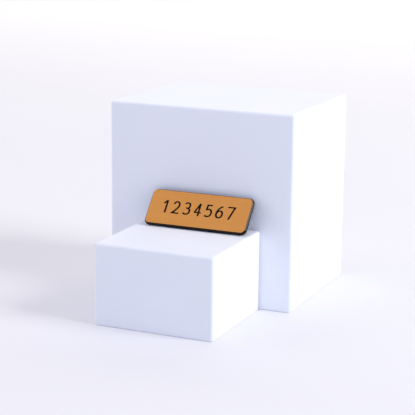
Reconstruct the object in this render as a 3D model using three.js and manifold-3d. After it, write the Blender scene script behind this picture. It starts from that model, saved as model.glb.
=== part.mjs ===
// An engraved name badge, leaning on a plain stand of two white display blocks.
//
// The badge is two-ply engraving laminate: a thin copper-coloured cap on a thick black core, with
// rounded corners. The front rim is bevelled, so that the core shows as a narrow black border. The
// numerals are cut right through the cap, so the core shows in them too, and the closed parts of
// the 4 and the 6 stay behind as islands of cap. A magnetic fastener in a plated steel case, here
// one plain bar, is bonded to the back.
//
// The badge stands on the low block on its rear bottom edge, and leans on the front face of the
// tall block with the upper edge of its fastener.
//
// Millimetres, +Z up, +X to the viewer's right, the badge facing -Y and up. The origin is at the
// bottom centre of the box that holds both blocks.

import * as THREE from "three";
import { RoundedBoxGeometry } from "three/addons/geometries/RoundedBoxGeometry.js";
import { mergeVertices } from "three/addons/utils/BufferGeometryUtils.js";
import Module from "manifold-3d";

const wasm = await Module();
wasm.setup();

// Badge plate
const badgeWidth = 69.85;
const badgeHeight = 25.4;
const coreThickness = 2.15;
const capThickness = 0.2;
const cornerRadius = 3.5;
const rimBevel = 0.8;
const bondGap = 0.05;

// Engraved numerals
const numeralText = "1234567";
const numeralHeight = 9;
const numeralWidth = 5.5;
const numeralSpace = 2;
const stemWidth = 1.3;
const hairlineWidth = 1;
const numeralsLeft = 0.6;
const numeralsUp = 0.5;

// Fastener bar on the back
const barLength = 45;
const barHeight = 13;
const barThickness = 6.5;
const barCornerRadius = 2;
const barRaise = 1;

// Display blocks
const tallWidth = 127;
const tallDepth = 101.6;
const tallHeight = 126.5;
const lowWidth = 79.3;
const lowDepth = 73.5;
const lowHeight = 51.6;
const lowInset = 26.9;
const blockEdgeRadius = 1.8;
const blockGap = 0.3;

// How the badge leans
const leanAngle = THREE.MathUtils.degToRad(40);
const badgeOffset = 1.9;
const restGap = 0.3;

// Fineness of the curves
const cornerSegments = 12;
const edgeSegments = 3;
const strokeSegments = 10;

// Places that follow from the sizes
const tallFrontY = (lowDepth + blockGap - tallDepth) / 2;
const lowBackY = tallFrontY - blockGap;
const lowCentreX = -tallWidth / 2 + lowInset + lowWidth / 2;
const capBack = coreThickness + bondGap;
const capFront = capBack + capThickness;

// Materials

function copperCap() {
  return new THREE.MeshStandardMaterial({ color: 0xcd8f4c, roughness: 0.38, metalness: 0.6 });
}

function blackCore() {
  return new THREE.MeshStandardMaterial({ color: 0x0d0c0e, roughness: 0.35, metalness: 0 });
}

function platedSteel() {
  return new THREE.MeshStandardMaterial({ color: 0xb9bbbf, roughness: 0.3, metalness: 1 });
}

function whitePaint() {
  return new THREE.MeshStandardMaterial({ color: 0xf1f1f4, roughness: 0.8, metalness: 0 });
}

// Shapes and solids

function roundedRectangle(width, height, radius) {
  const x = width / 2 - radius;
  const y = height / 2 - radius;
  const quarter = Math.PI / 2;
  const shape = new THREE.Shape();
  shape.absarc(x, y, radius, 0, quarter);
  shape.absarc(-x, y, radius, quarter, 2 * quarter);
  shape.absarc(-x, -y, radius, 2 * quarter, 3 * quarter);
  shape.absarc(x, -y, radius, 3 * quarter, 4 * quarter);
  shape.closePath();
  return shape;
}

function slab(shape, back, front) {
  const geometry = new THREE.ExtrudeGeometry(shape, {
    depth: front - back,
    bevelEnabled: false,
    curveSegments: cornerSegments,
  });
  return geometry.translate(0, 0, back);
}

function solidOf(geometry) {
  const bare = geometry.clone();
  bare.deleteAttribute("normal");
  bare.deleteAttribute("uv");
  const merged = mergeVertices(bare);
  return new wasm.Manifold(
    new wasm.Mesh({
      numProp: 3,
      vertProperties: merged.attributes.position.array,
      triVerts: new Uint32Array(merged.index.array),
    }),
  );
}

function geometryOf(solid) {
  const mesh = solid.getMesh();
  const geometry = new THREE.BufferGeometry();
  geometry.setAttribute("position", new THREE.BufferAttribute(mesh.vertProperties, 3));
  geometry.setIndex(new THREE.BufferAttribute(mesh.triVerts, 1));
  geometry.computeVertexNormals();
  return geometry;
}

function namedMesh(name, geometry, material) {
  const mesh = new THREE.Mesh(geometry, material);
  mesh.name = name;
  return mesh;
}

// Numerals
//
// A numeral is a list of strokes, and a stroke is a list of points and curves: its first row is
// where it starts, [across, up], and each later row is the end of a straight piece, [across, up],
// or a curve's two handles and its end. All are shares of the box that the centre lines run in.
// An end below 0 or above 1 runs out of the box, which trims it square.

const numerals = {
  1: [
    [
      [0.64, -0.2],
      [0.64, 1.2],
    ],
    [
      [0.64, 1.04],
      [0.14, 0.77],
    ],
  ],
  2: [
    [
      [0.05, 0.77],
      [0.1, 0.92, 0.27, 1, 0.48, 1],
      [0.75, 1, 0.93, 0.89, 0.93, 0.72],
      [0.93, 0.5, 0.62, 0.32, -0.08, -0.07],
    ],
    [
      [-0.2, 0],
      [1.2, 0],
    ],
  ],
  3: [
    [
      [0.08, 0.88],
      [0.18, 0.96, 0.32, 1, 0.46, 1],
      [0.72, 1, 0.9, 0.91, 0.9, 0.77],
      [0.9, 0.62, 0.76, 0.54, 0.5, 0.54],
      [0.3, 0.54],
    ],
    [
      [0.3, 0.54],
      [0.5, 0.54],
      [0.84, 0.54, 1, 0.43, 1, 0.28],
      [1, 0.1, 0.76, 0, 0.46, 0],
      [0.28, 0, 0.13, 0.04, 0.02, 0.12],
    ],
  ],
  4: [
    [
      [0.74, -0.2],
      [0.74, 1.2],
    ],
    [
      [0.74, 1.05],
      [0.08, 0.25],
    ],
    [
      [-0.02, 0.25],
      [1.2, 0.25],
    ],
  ],
  5: [
    [
      [0.18, 1],
      [0.93, 1],
    ],
    [
      [0.2, 1.2],
      [0.13, 0.53],
    ],
    [
      [0.12, 0.6],
      [0.25, 0.63, 0.35, 0.64, 0.46, 0.64],
      [0.79, 0.64, 0.98, 0.52, 0.98, 0.33],
      [0.98, 0.12, 0.75, 0, 0.44, 0],
      [0.27, 0, 0.13, 0.03, 0.02, 0.1],
    ],
  ],
  6: [
    [
      [0.86, 0.99],
      [0.42, 0.92, 0.02, 0.66, 0.02, 0.32],
      [0.02, 0.12, 0.24, 0, 0.5, 0],
      [0.79, 0, 0.98, 0.12, 0.98, 0.31],
    ],
    [
      [0.98, 0.25],
      [0.98, 0.31],
      [0.98, 0.49, 0.8, 0.6, 0.54, 0.6],
      [0.3, 0.6, 0.1, 0.5, 0.02, 0.32],
    ],
  ],
  7: [
    [
      [-0.2, 1],
      [1.2, 1],
    ],
    [
      [1.05, 1.12],
      [0.28, -0.2],
    ],
  ],
};

function centreLine(stroke) {
  const across = (share) => stemWidth / 2 + share * (numeralWidth - stemWidth);
  const up = (share) => hairlineWidth / 2 + share * (numeralHeight - hairlineWidth);
  const [start, ...pieces] = stroke;
  const path = new THREE.Path();
  path.moveTo(across(start[0]), up(start[1]));
  for (const piece of pieces) {
    const places = piece.map((share, i) => (i % 2 === 0 ? across(share) : up(share)));
    if (places.length === 2) {
      path.lineTo(...places);
    } else {
      path.bezierCurveTo(...places);
    }
  }
  return path.getPoints(strokeSegments);
}

// An upright stretch of a stroke is a stem wide and a level one a hairline.
function strokeOutline(points) {
  const left = [];
  const right = [];
  points.forEach((point, i) => {
    const before = points[Math.max(i - 1, 0)];
    const after = points[Math.min(i + 1, points.length - 1)];
    const along = after.clone().sub(before).normalize();
    const width = THREE.MathUtils.lerp(hairlineWidth, stemWidth, Math.abs(along.y));
    const side = new THREE.Vector2(-along.y, along.x).multiplyScalar(width / 2);
    left.push(point.clone().add(side));
    right.unshift(point.clone().sub(side));
  });
  return new THREE.Shape([...left, ...right]);
}

function numeralBox() {
  const shape = new THREE.Shape();
  shape.lineTo(numeralWidth, 0);
  shape.lineTo(numeralWidth, numeralHeight);
  shape.lineTo(0, numeralHeight);
  shape.closePath();
  return shape;
}

// The cutter of one numeral reaches past both faces of the cap.
function numeralCutter(numeral) {
  const back = capBack - capThickness;
  const front = capFront + capThickness;
  const strokes = numerals[numeral].map((stroke) => {
    const outline = strokeOutline(centreLine(stroke));
    return solidOf(slab(outline, back, front));
  });
  const joined = strokes.reduce((whole, stroke) => whole.add(stroke));
  return joined.intersect(solidOf(slab(numeralBox(), back, front)));
}

// Badge
//
// Each piece is made in the badge's own frame, with X along its width, Y up its face, Z out of its
// face and the origin at the centre of its back.

function frontOutline() {
  const across = badgeWidth - 2 * rimBevel;
  const up = badgeHeight - 2 * rimBevel;
  return roundedRectangle(across, up, cornerRadius - rimBevel);
}

function badgeCore() {
  const bevelled = new THREE.ExtrudeGeometry(frontOutline(), {
    depth: coreThickness,
    bevelThickness: rimBevel,
    bevelSize: rimBevel,
    bevelSegments: 1,
    curveSegments: cornerSegments,
  });
  bevelled.translate(0, 0, -rimBevel);
  const aheadOfBack = new THREE.BoxGeometry(2 * badgeWidth, 2 * badgeHeight, 2 * coreThickness);
  aheadOfBack.translate(0, 0, coreThickness);
  const core = solidOf(bevelled).intersect(solidOf(aheadOfBack));
  return namedMesh("badge_core", geometryOf(core), blackCore());
}

// Cutting the numerals leaves the cap itself, which is the largest piece, and an island in each
// numeral that closes on itself, counted from left to right.
function capPieces() {
  let cap = solidOf(slab(frontOutline(), capBack, capFront));
  const pitch = numeralWidth + numeralSpace;
  const textWidth = numeralText.length * pitch - numeralSpace;
  [...numeralText].forEach((numeral, i) => {
    const left = i * pitch - textWidth / 2 - numeralsLeft;
    const bottom = numeralsUp - numeralHeight / 2;
    cap = cap.subtract(numeralCutter(numeral).translate([left, bottom, 0]));
  });
  const [whole, ...islands] = cap.decompose().sort((a, b) => b.volume() - a.volume());
  islands.sort((a, b) => a.boundingBox().min[0] - b.boundingBox().min[0]);
  const capMesh = namedMesh("badge_cap", geometryOf(whole), copperCap());
  const islandMeshes = islands.map((island, i) => {
    return namedMesh(`cap_island_${i + 1}`, geometryOf(island), copperCap());
  });
  return [capMesh, ...islandMeshes];
}

function fastenerBar() {
  const outline = roundedRectangle(barLength, barHeight, barCornerRadius);
  const bar = slab(outline, -bondGap - barThickness, -bondGap).translate(0, barRaise, 0);
  return namedMesh("fastener_bar", bar, platedSteel());
}

// How far the leaning badge reaches behind its rear bottom edge: to its rear top edge or to its
// fastener's upper edge, whichever meets the tall block first.
function leaningReach() {
  const barTop = badgeHeight / 2 + barRaise + barHeight / 2;
  const barBack = bondGap + barThickness;
  return Math.max(
    badgeHeight * Math.sin(leanAngle),
    barTop * Math.sin(leanAngle) + barBack * Math.cos(leanAngle),
  );
}

function badge() {
  const pieces = new THREE.Group();
  pieces.add(badgeCore(), ...capPieces(), fastenerBar());
  pieces.position.y = badgeHeight / 2;
  const leaning = new THREE.Group();
  leaning.add(pieces);
  leaning.rotation.x = Math.PI / 2 - leanAngle;
  const rearEdgeY = tallFrontY - restGap - leaningReach();
  leaning.position.set(lowCentreX + badgeOffset, rearEdgeY, lowHeight + restGap);
  return leaning;
}

// Display blocks

function displayBlock(name, width, depth, height) {
  const shape = new RoundedBoxGeometry(width, depth, height, edgeSegments, blockEdgeRadius);
  return namedMesh(name, shape, whitePaint());
}

function tallBlock() {
  const block = displayBlock("tall_block", tallWidth, tallDepth, tallHeight);
  block.position.set(0, tallFrontY + tallDepth / 2, tallHeight / 2);
  return block;
}

function lowBlock() {
  const block = displayBlock("low_block", lowWidth, lowDepth, lowHeight);
  block.position.set(lowCentreX, lowBackY - lowDepth / 2, lowHeight / 2);
  return block;
}

const part = new THREE.Group();
part.add(tallBlock(), lowBlock(), badge());

export default part;
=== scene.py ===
from math import cos, pi, radians, sin

import bmesh
import bpy
from mathutils import Matrix, Vector


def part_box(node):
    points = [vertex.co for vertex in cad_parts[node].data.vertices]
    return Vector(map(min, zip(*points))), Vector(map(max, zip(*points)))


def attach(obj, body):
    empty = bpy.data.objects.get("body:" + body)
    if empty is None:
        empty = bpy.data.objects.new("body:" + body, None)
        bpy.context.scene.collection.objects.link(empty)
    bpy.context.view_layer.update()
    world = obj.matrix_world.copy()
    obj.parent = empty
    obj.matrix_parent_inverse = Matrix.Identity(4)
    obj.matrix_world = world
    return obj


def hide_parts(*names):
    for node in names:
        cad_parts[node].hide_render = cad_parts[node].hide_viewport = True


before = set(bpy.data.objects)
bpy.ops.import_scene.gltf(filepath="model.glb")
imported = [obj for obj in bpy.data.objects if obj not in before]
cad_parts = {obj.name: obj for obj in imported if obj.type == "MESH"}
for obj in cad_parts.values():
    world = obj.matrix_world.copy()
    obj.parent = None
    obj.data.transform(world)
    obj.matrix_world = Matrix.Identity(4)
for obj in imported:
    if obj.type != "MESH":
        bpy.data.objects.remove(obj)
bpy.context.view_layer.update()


# The camera
# It looks down on the blocks from the front and a little from their right, through a long lens
# about 0.9 m away, so that the blocks' upright edges stay nearly parallel.
camera_place = Vector((0.3527, -0.801, 0.26099))
camera_azimuth = radians(23.778)
camera_elevation = radians(12.979)
camera_roll = radians(0.632)
camera_lens_mm = 120.13
sensor_width_mm = 36
camera_reach = 100

lens = bpy.data.cameras.new("studio_camera")
lens.sensor_width = sensor_width_mm
lens.lens = camera_lens_mm
lens.clip_end = camera_reach
camera = bpy.data.objects.new("studio_camera", lens)
turn_to_blocks = Matrix.Rotation(camera_azimuth, 4, "Z")
tip_down = Matrix.Rotation(pi / 2 - camera_elevation, 4, "X")
roll = Matrix.Rotation(camera_roll, 4, "Z")
camera.matrix_world = Matrix.Translation(camera_place) @ turn_to_blocks @ tip_down @ roll
bpy.context.scene.collection.objects.link(camera)
bpy.context.scene.camera = camera


# The display blocks
# Two plain blocks of solid wood, sawn square, their edges eased by hand with fine paper, those round
# the underside less, then sealed and sprayed with matt white paint. They aren't joined.
edge_radius = 0.0018
foot_radius = 0.0007
foot_height = 0.00007
edge_steps = 6

paint_white = (0.918, 0.938, 0.972, 1)
paint_shade = (0.898, 0.923, 0.962, 1)
paint_cloud_scale = 18
paint_peel_scale = 650
paint_peel_detail = 3.0
paint_peel_height = 0.00003
paint_gloss = (0.55, 0.68)
pattern_low = 0.35
pattern_high = 0.65


def new_finish(name):
    """A new material with its nodes, its links and its shader."""
    finish = bpy.data.materials.new(name)
    finish.use_nodes = True
    nodes = finish.node_tree.nodes
    links = finish.node_tree.links
    return finish, nodes, links, nodes["Principled BSDF"]


def blotches(nodes, links, place, scale, detail=2.0):
    """A soft random pattern from 0 to 1, its blotches about 1 / scale metres across."""
    noise = nodes.new("ShaderNodeTexNoise")
    noise.inputs["Scale"].default_value = scale
    noise.inputs["Detail"].default_value = detail
    links.new(place, noise.inputs["Vector"])
    return noise.outputs["Fac"]


def shades(nodes, links, pattern, dark, light):
    """A colour from dark to light as the pattern goes from its low to its high values."""
    ramp = nodes.new("ShaderNodeValToRGB")
    ramp.color_ramp.elements[0].position = pattern_low
    ramp.color_ramp.elements[0].color = dark
    ramp.color_ramp.elements[1].position = pattern_high
    ramp.color_ramp.elements[1].color = light
    links.new(pattern, ramp.inputs["Fac"])
    return ramp.outputs["Color"]


def spread(nodes, links, pattern, low_and_high):
    """A number from low to high as the pattern goes from its low to its high values."""
    remap = nodes.new("ShaderNodeMapRange")
    remap.inputs["From Min"].default_value = pattern_low
    remap.inputs["From Max"].default_value = pattern_high
    remap.inputs["To Min"].default_value = low_and_high[0]
    remap.inputs["To Max"].default_value = low_and_high[1]
    links.new(pattern, remap.inputs["Value"])
    return remap.outputs["Result"]


def relief(nodes, links, pattern, height, under=None):
    """A surface raised by up to height metres where the pattern is light."""
    bump = nodes.new("ShaderNodeBump")
    bump.inputs["Distance"].default_value = height
    links.new(pattern, bump.inputs["Height"])
    if under is not None:
        links.new(under, bump.inputs["Normal"])
    return bump.outputs["Normal"]


def matt_white_paint():
    """Sprayed matt paint, with faint clouds and a fine peel."""
    finish, nodes, links, shader = new_finish("matt_white_paint")
    place = nodes.new("ShaderNodeTexCoord").outputs["Object"]
    clouds = blotches(nodes, links, place, paint_cloud_scale)
    peel = blotches(nodes, links, place, paint_peel_scale, paint_peel_detail)
    links.new(shades(nodes, links, clouds, paint_shade, paint_white), shader.inputs["Base Color"])
    links.new(spread(nodes, links, clouds, paint_gloss), shader.inputs["Roughness"])
    links.new(relief(nodes, links, peel, paint_peel_height), shader.inputs["Normal"])
    return finish


def as_piece(name, bm, finish):
    """An object at the origin with the bmesh's shape and one finish."""
    mesh = bpy.data.meshes.new(name)
    bm.to_mesh(mesh)
    bm.free()
    mesh.materials.append(finish)
    piece = bpy.data.objects.new(name, mesh)
    bpy.context.scene.collection.objects.link(piece)
    return piece


def foot_edges(bm):
    """The edges round the underside of a block, which stands at height 0."""
    return [edge for edge in bm.edges if max(vert.co.z for vert in edge.verts) < foot_height]


def ease(bm, edges, radius):
    """Rounds edges and smooths the strips that round them."""
    eased = bmesh.ops.bevel(
        bm, geom=edges, offset=radius, offset_type="OFFSET", segments=edge_steps,
        profile=0.5, affect="EDGES", material=-1,
    )
    for face in eased["faces"]:
        face.smooth = True


def eased_block(node):
    """A block of the node's size and place, its faces flat and its edges and corners rounded."""
    low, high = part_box(node)
    bm = bmesh.new()
    bmesh.ops.create_cube(bm, size=1)
    bmesh.ops.scale(bm, vec=high - low, verts=bm.verts)
    bmesh.ops.translate(bm, vec=(low + high) / 2, verts=bm.verts)
    ease(bm, [edge for edge in bm.edges if edge not in foot_edges(bm)], edge_radius)
    ease(bm, foot_edges(bm), foot_radius)
    return bm


white_paint = matt_white_paint()

tall_block = as_piece("painted_tall_block", eased_block("tall_block"), white_paint)
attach(tall_block, "root")
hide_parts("tall_block")

low_block = as_piece("painted_low_block", eased_block("low_block"), white_paint)
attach(low_block, "root")
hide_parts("low_block")


# The badge's core
# The thick black ply of the engraving laminate, sawn to size, its corners rounded and its front rim
# bevelled with a cutter that leaves it glossier than the sawn edges. It carries the cap, and shows
# in the numerals, at the edges and as a narrow border.
lean = radians(40)
badge_width = 0.06985
badge_height = 0.0254
core_thickness = 0.00215
corner_radius = 0.0035
corner_steps = 20
rim_bevel = 0.0008
rim_bevel_steps = 1
crisp_angle = radians(30)
front_side = 1
back_side = -1

core_black = (0.005, 0.0018, 0.0014, 1)
core_grey = (0.011, 0.005, 0.004, 1)
core_gloss = (0.4, 0.52)
core_shine = 0.1
bevel_gloss = (0.2, 0.28)
bevel_shine = 0.2
saw_lines = (60, 60, 8000)
saw_line_height = 0.000008
graver_scale = 3500
graver_height = 0.00001

core_low, core_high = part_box("badge_core")
rear_edge = Vector((
    (core_low.x + core_high.x) / 2,
    core_high.y - badge_height * sin(lean),
    core_low.z,
))
onto_badge = Matrix.Translation(rear_edge) @ Matrix.Rotation(pi / 2 - lean, 4, "X")


def badge_coordinates(nodes, links):
    """Places on the badge: X along its width, Y up its face from the rear edge, Z out of it."""
    mapping = nodes.new("ShaderNodeMapping")
    mapping.vector_type = "TEXTURE"
    mapping.inputs["Location"].default_value = rear_edge
    mapping.inputs["Rotation"].default_value = (pi / 2 - lean, 0, 0)
    links.new(nodes.new("ShaderNodeTexCoord").outputs["Object"], mapping.inputs["Vector"])
    return mapping.outputs["Vector"]


def drawn_lines(nodes, links, place, repeats):
    """Blotches drawn out into lines, by how often they repeat in a metre along X, Y and Z."""
    mapping = nodes.new("ShaderNodeMapping")
    mapping.inputs["Scale"].default_value = repeats
    links.new(place, mapping.inputs["Vector"])
    return blotches(nodes, links, mapping.outputs["Vector"], scale=1)


def black_laminate(name, gloss, shine):
    """Black acrylic with the marks of the saw and of the graver, as glossy as its cutter leaves it."""
    finish, nodes, links, shader = new_finish(name)
    place = badge_coordinates(nodes, links)
    lines = drawn_lines(nodes, links, place, saw_lines)
    graver = blotches(nodes, links, place, graver_scale)
    links.new(shades(nodes, links, lines, core_black, core_grey), shader.inputs["Base Color"])
    links.new(spread(nodes, links, lines, gloss), shader.inputs["Roughness"])
    sawn = relief(nodes, links, lines, saw_line_height)
    links.new(relief(nodes, links, graver, graver_height, sawn), shader.inputs["Normal"])
    shader.inputs["Specular IOR Level"].default_value = shine
    return finish


def rounded_plate(width, height, back, front, radius):
    """A plate with rounded corners, between two distances in front of the badge's back."""
    bm = bmesh.new()
    bmesh.ops.create_cube(bm, size=1)
    bmesh.ops.scale(bm, vec=(width, height, front - back), verts=bm.verts)
    bmesh.ops.translate(bm, vec=(0, badge_height / 2, (back + front) / 2), verts=bm.verts)
    corner_edges = [edge for edge in bm.edges if edge.verts[0].co.xy == edge.verts[1].co.xy]
    bmesh.ops.bevel(
        bm, geom=corner_edges, offset=radius, offset_type="OFFSET", segments=corner_steps,
        profile=0.5, affect="EDGES", material=-1,
    )
    return bm


def bevel_rim(bm, side, width, steps):
    """Bevels the rim of a plate's front or back side."""
    bm.normal_update()
    rim = [edge for face in bm.faces if face.normal.z * side > cos(crisp_angle) for edge in face.edges]
    bmesh.ops.bevel(
        bm, geom=rim, offset=width, offset_type="OFFSET", segments=steps,
        profile=0.5, affect="EDGES", material=-1,
    )


def crisp_edges(bm):
    """Smooths the faces but keeps a crisp edge wherever they turn sharply."""
    bm.normal_update()
    for face in bm.faces:
        face.smooth = True
    for edge in bm.edges:
        edge.smooth = edge.calc_face_angle(0) < crisp_angle


core = rounded_plate(badge_width, badge_height, 0, core_thickness, corner_radius)
bevel_rim(core, front_side, rim_bevel, rim_bevel_steps)
crisp_edges(core)
bevel_finish = 1
for face in core.faces:
    if cos(crisp_angle) > face.normal.z > sin(crisp_angle):
        face.material_index = bevel_finish
bmesh.ops.transform(core, matrix=onto_badge, verts=core.verts)
sawn_black = black_laminate("black_laminate", core_gloss, core_shine)
bevelled_black = black_laminate("bevelled_laminate", bevel_gloss, bevel_shine)
badge_core = as_piece("laminate_core", core, sawn_black)
badge_core.data.materials.append(bevelled_black)
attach(badge_core, "root")
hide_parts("badge_core")


# The badge's cap
# The thin front ply of the laminate, a copper-coloured film under clear acrylic, brushed along the
# badge. The numerals are cut right through it, and what the 4 and the 6 close in stays bonded on.
copper_dark = (0.745, 0.323, 0.065, 1)
copper_light = (0.815, 0.361, 0.078, 1)
copper_gloss = (0.36, 0.46)
copper_metal = 0.75
brush_lines = (22, 5200, 22)
brush_line_height = 0.000003
copper_clear_coat = 0.25
copper_coat_roughness = 0.3


def brushed_copper():
    """Copper-coloured film, brushed along the badge, under a clear coat."""
    finish, nodes, links, shader = new_finish("brushed_copper")
    place = badge_coordinates(nodes, links)
    lines = drawn_lines(nodes, links, place, brush_lines)
    links.new(shades(nodes, links, lines, copper_dark, copper_light), shader.inputs["Base Color"])
    links.new(spread(nodes, links, lines, copper_gloss), shader.inputs["Roughness"])
    links.new(relief(nodes, links, lines, brush_line_height), shader.inputs["Normal"])
    shader.inputs["Metallic"].default_value = copper_metal
    shader.inputs["Coat Weight"].default_value = copper_clear_coat
    shader.inputs["Coat Roughness"].default_value = copper_coat_roughness
    return finish


copper = brushed_copper()
for node in ("badge_cap", "cap_island_1", "cap_island_2"):
    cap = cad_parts[node]
    cap.data.materials.clear()
    cap.data.materials.append(copper)


# The fastener bar
# A magnetic fastener, its two halves held together, here as one plain bar in a drawn case of
# nickel-plated steel with soft edges. It is bonded along the badge's back, just above its middle.
bar_length = 0.045
bar_height = 0.013
bar_thickness = 0.0065
bar_corner_radius = 0.002
bar_raise = 0.001
bar_edge_radius = 0.0006
bar_edge_steps = 4
bond_gap = 0.00005
bar_front = -bond_gap
bar_back = bar_front - bar_thickness

nickel_dark = (0.5, 0.49, 0.46, 1)
nickel_light = (0.64, 0.63, 0.6, 1)
nickel_gloss = (0.24, 0.36)
nickel_metal = 1
rolling_lines = (40, 3600, 3600)
rolling_line_height = 0.000003


def nickel_plate():
    """Nickel plate over steel with fine rolling lines."""
    finish, nodes, links, shader = new_finish("nickel_plate")
    place = badge_coordinates(nodes, links)
    lines = drawn_lines(nodes, links, place, rolling_lines)
    links.new(shades(nodes, links, lines, nickel_dark, nickel_light), shader.inputs["Base Color"])
    links.new(spread(nodes, links, lines, nickel_gloss), shader.inputs["Roughness"])
    links.new(relief(nodes, links, lines, rolling_line_height), shader.inputs["Normal"])
    shader.inputs["Metallic"].default_value = nickel_metal
    return finish


bar = rounded_plate(bar_length, bar_height, bar_back, bar_front, bar_corner_radius)
bmesh.ops.translate(bar, vec=(0, bar_raise, 0), verts=bar.verts)
for side in (front_side, back_side):
    bevel_rim(bar, side, bar_edge_radius, bar_edge_steps)
crisp_edges(bar)
bmesh.ops.transform(bar, matrix=onto_badge, verts=bar.verts)
fastener_bar = as_piece("nickel_fastener_bar", bar, nickel_plate())
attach(fastener_bar, "root")
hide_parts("fastener_bar")


# The studio floor
# A wide sheet of pale paper. It isn't part of the object.
floor_half_width = 12
paper_pale = (0.88, 0.872, 0.885, 1)
paper_shade = (0.87, 0.862, 0.877, 1)
paper_roughness = 0.85
paper_cloud_scale = 3


def pale_paper():
    """Matt paper, very slightly cloudy."""
    finish, nodes, links, shader = new_finish("pale_paper")
    place = nodes.new("ShaderNodeTexCoord").outputs["Object"]
    clouds = blotches(nodes, links, place, paper_cloud_scale)
    links.new(shades(nodes, links, clouds, paper_shade, paper_pale), shader.inputs["Base Color"])
    shader.inputs["Roughness"].default_value = paper_roughness
    return finish


sheet = bmesh.new()
bmesh.ops.create_grid(sheet, x_segments=1, y_segments=1, size=floor_half_width)
studio_floor = as_piece("studio_floor", sheet, pale_paper())


# The studio light
# One large soft lamp stands to the right of the blocks and above them and throws the shadows. Four
# weaker ones hang over the blocks and the far floor and stand at the left and in front.
air_colour = (0.5, 0.5, 0.508, 1)
air_strength = 1.0

right_lamp_place = Vector((2.532, 0.015, 1.611))
right_lamp_size = (1.45, 1.45)
right_lamp_power = 46.8
right_lamp_colour = (0.95, 0.973, 1)

left_lamp_place = Vector((-2.536, -0.507, 1.521))
left_lamp_size = (2, 2)
left_lamp_power = 18.7
left_lamp_colour = (0.849, 0.837, 1)

far_lamp_place = Vector((-0.9, 2.6, 1.6))
far_lamp_size = (4, 2)
far_lamp_power = 34.4
far_lamp_colour = (1, 0.971, 0.89)

front_lamp_place = Vector((0.81, -2.72, 0.95))
front_lamp_size = (2.4, 1.6)
front_lamp_power = 10.7
front_lamp_colour = (0, 0.19, 1)

top_lamp_place = Vector((0, 0, 2.6))
top_lamp_size = (3, 3)
top_lamp_power = 11.3
top_lamp_colour = (0.846, 0.745, 1)

air = bpy.data.worlds.new("studio_air")
air.use_nodes = True
air.node_tree.nodes["Background"].inputs["Color"].default_value = air_colour
air.node_tree.nodes["Background"].inputs["Strength"].default_value = air_strength
bpy.context.scene.world = air


def soft_lamp(name, shape, place, back, size, power, colour):
    """An area lamp at a place, with its back turned to a direction."""
    light = bpy.data.lights.new(name, "AREA")
    light.shape = shape
    light.size = size[0]
    light.size_y = size[1]
    light.energy = power
    light.color = colour
    lamp = bpy.data.objects.new(name, light)
    turn = back.to_track_quat("Z", "Y").to_matrix().to_4x4()
    lamp.matrix_world = Matrix.Translation(place) @ turn
    bpy.context.scene.collection.objects.link(lamp)


upward = Vector((0, 0, 1))
soft_lamp(
    "right_lamp", "DISK", right_lamp_place, right_lamp_place, right_lamp_size, right_lamp_power,
    right_lamp_colour,
)
soft_lamp(
    "left_lamp", "RECTANGLE", left_lamp_place, left_lamp_place, left_lamp_size, left_lamp_power,
    left_lamp_colour,
)
soft_lamp(
    "far_lamp", "RECTANGLE", far_lamp_place, upward, far_lamp_size, far_lamp_power, far_lamp_colour,
)
soft_lamp(
    "front_lamp", "RECTANGLE", front_lamp_place, front_lamp_place, front_lamp_size,
    front_lamp_power, front_lamp_colour,
)
soft_lamp(
    "top_lamp", "RECTANGLE", top_lamp_place, upward, top_lamp_size, top_lamp_power, top_lamp_colour,
)

bpy.context.scene.view_settings.view_transform = "Standard"
